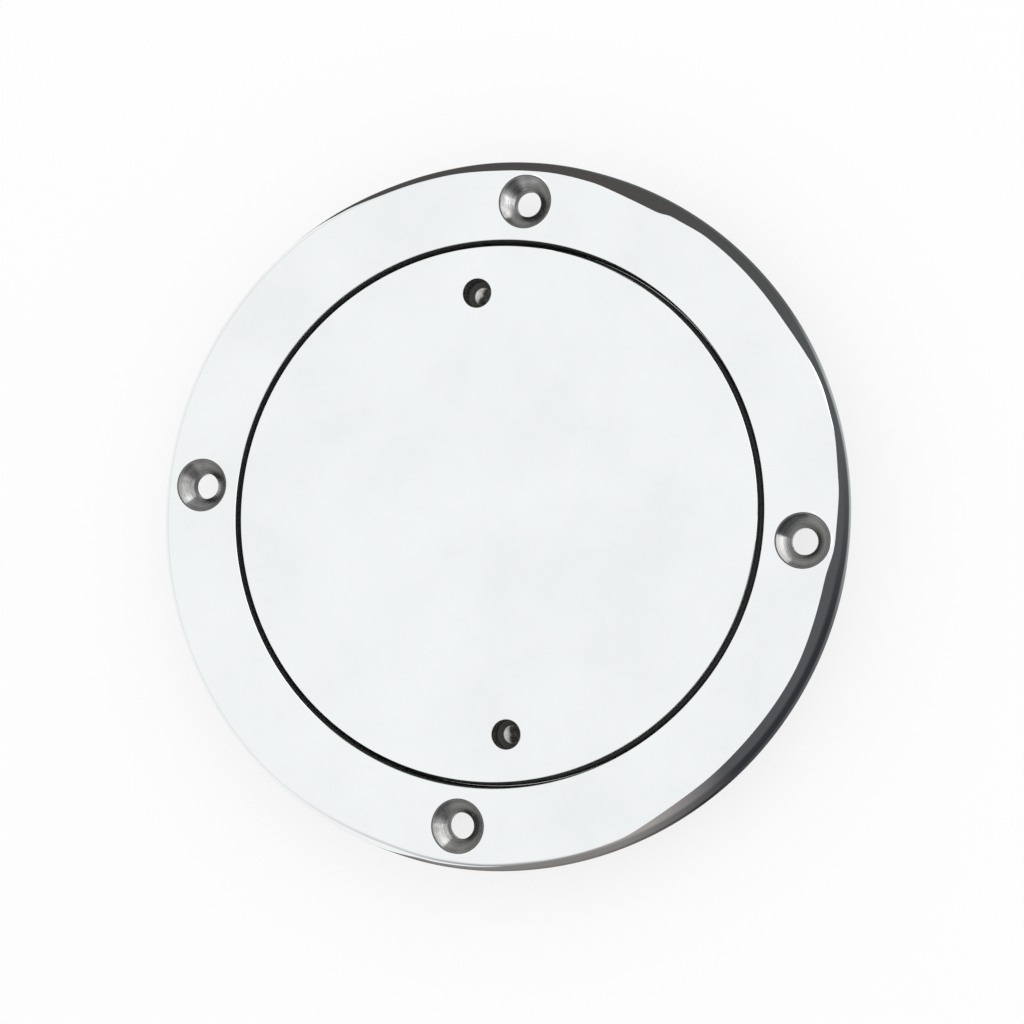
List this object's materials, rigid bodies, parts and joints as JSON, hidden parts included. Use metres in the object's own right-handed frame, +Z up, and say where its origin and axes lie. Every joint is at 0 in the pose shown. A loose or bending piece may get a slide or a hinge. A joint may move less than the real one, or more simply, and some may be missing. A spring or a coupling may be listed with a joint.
{
  "type": "deck inspection plate",
  "caption": "Round stainless steel deck inspection plate: a flush screw-in lid with blind key holes, in a countersunk flange over a threaded collar.",
  "frame": {"origin": "centre of the flange's underside, where the plate meets the deck, on the axis of the screw holes", "axes": "+Z up out of the deck along the lid's thread; +X and +Y each through a screw hole"},
  "size_m": [0.146, 0.146, 0.0175],
  "materials": {
    "polished_steel": "mirror-polished stainless steel, turned on the thread, in the countersinks and in the key holes",
    "seal_rubber": "black nitrile rubber, matte"
  },
  "bodies": {
    "ring": {"deck_ring": "polished_steel"},
    "seal": {"lid_seal": "seal_rubber"},
    "lid": {"screw_lid": "polished_steel"}
  },
  "joints": [
    {"name": "lid_lift", "type": "slide", "parent": "ring", "child": "seal", "axis": [0, 0, 1], "range_m": [0, 0.01001]},
    {"name": "lid_turn", "type": "hinge", "parent": "seal", "child": "lid", "pos_m": [0, 0, 0], "axis": [0, 0, 1], "range_deg": [0, 900]}
  ],
  "couplings": [
    {"joint": "lid_lift", "follows": "lid_turn", "m_per_rad": 0.00063662}
  ]
}
